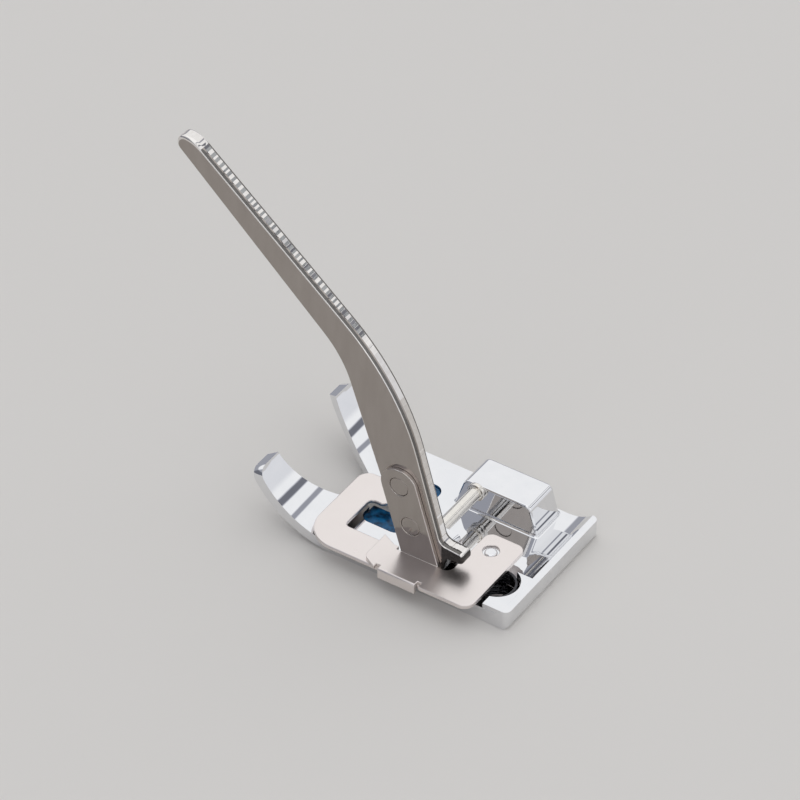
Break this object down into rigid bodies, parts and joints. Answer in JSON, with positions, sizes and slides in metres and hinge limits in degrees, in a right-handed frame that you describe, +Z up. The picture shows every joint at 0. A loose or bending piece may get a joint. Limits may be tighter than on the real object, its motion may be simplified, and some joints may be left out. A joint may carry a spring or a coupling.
{
  "type": "sewing machine presser foot",
  "caption": "Clip-on presser foot for stretch fabrics: a chromed base with upturned toes and a crossbar, and a sprung sheet-metal rocker worked by a long bent lever.",
  "frame": {"origin": "on the sole, straight below the crossbar axis, in the middle of the foot's width", "axes": "+X along the crossbar to the operator's right, +Y to the back of the machine, +Z up from the sole"},
  "size_m": [0.0201, 0.0419, 0.0459],
  "materials": {
    "chrome": "mirror chrome plating",
    "steel": "ground pin",
    "spring_steel": "dark spring wire",
    "rubber": "smooth blue rubber",
    "lever_steel": "polished flat, milled edge",
    "satin_nickel": "satin nickel plating"
  },
  "bodies": {
    "foot": {"base": "chrome", "crossbar": "steel", "guide_post": "chrome", "spring": "spring_steel", "rubber_insert": "rubber"},
    "rocker": {"lever": "lever_steel", "bracket": "satin_nickel", "front_plate": "satin_nickel", "rivets": "lever_steel"}
  },
  "joints": [
    {"name": "lever_rock", "type": "hinge", "parent": "foot", "child": "rocker", "pos_m": [0.0061, 0, 0.0042], "axis": [-1, 0, 0], "range_deg": [0, 4], "stiffness_Nm_per_rad": 0.07, "springref_deg": -10.31, "deforming": ["spring"]}
  ]
}
